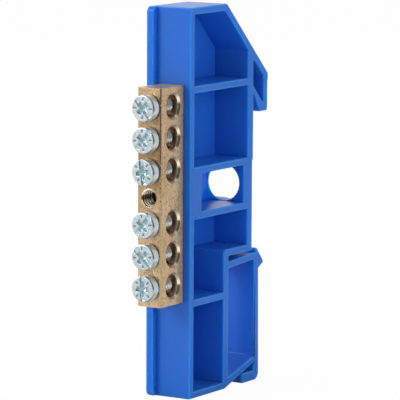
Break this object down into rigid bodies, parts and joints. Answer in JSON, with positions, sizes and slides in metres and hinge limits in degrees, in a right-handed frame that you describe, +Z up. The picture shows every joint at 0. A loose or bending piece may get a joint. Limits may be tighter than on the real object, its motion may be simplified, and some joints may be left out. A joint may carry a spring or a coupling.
{
  "type": "neutral terminal bar",
  "caption": "Brass neutral bar with clamping screws on a ribbed blue insulator that hooks and latches onto a 35 mm top-hat rail.",
  "frame": {"origin": "middle of the rail seat: half the width, on the rear wall's seat plane, at the height of the rail's middle", "axes": "+X along the rail, to the side with the open pockets; +Y from the seat into the rail; +Z up along the bar"},
  "size_m": [0.0104, 0.0434, 0.0854],
  "materials": {
    "insulator": "satin moulded, blue",
    "bar": "drawn, dull",
    "screws": "zinc plated, bright"
  },
  "bodies": {
    "carrier": {"insulator_body": "insulator", "neutral_bar": "bar", "fixing_screw": "screws"},
    "screw_1": {"terminal_screw_1": "screws"},
    "screw_2": {"terminal_screw_2": "screws"},
    "screw_3": {"terminal_screw_3": "screws"},
    "screw_4": {"terminal_screw_4": "screws"},
    "screw_5": {"terminal_screw_5": "screws"},
    "screw_6": {"terminal_screw_6": "screws"}
  },
  "joints": [
    {"name": "screw_1_travel", "type": "slide", "parent": "carrier", "child": "screw_1", "axis": [0, -1, 0], "range_m": [0, 0.004]},
    {"name": "screw_2_travel", "type": "slide", "parent": "carrier", "child": "screw_2", "axis": [0, -1, 0], "range_m": [0, 0.004]},
    {"name": "screw_3_travel", "type": "slide", "parent": "carrier", "child": "screw_3", "axis": [0, -1, 0], "range_m": [0, 0.004]},
    {"name": "screw_4_travel", "type": "slide", "parent": "carrier", "child": "screw_4", "axis": [0, -1, 0], "range_m": [0, 0.004]},
    {"name": "screw_5_travel", "type": "slide", "parent": "carrier", "child": "screw_5", "axis": [0, -1, 0], "range_m": [0, 0.004]},
    {"name": "screw_6_travel", "type": "slide", "parent": "carrier", "child": "screw_6", "axis": [0, -1, 0], "range_m": [0, 0.004]}
  ]
}
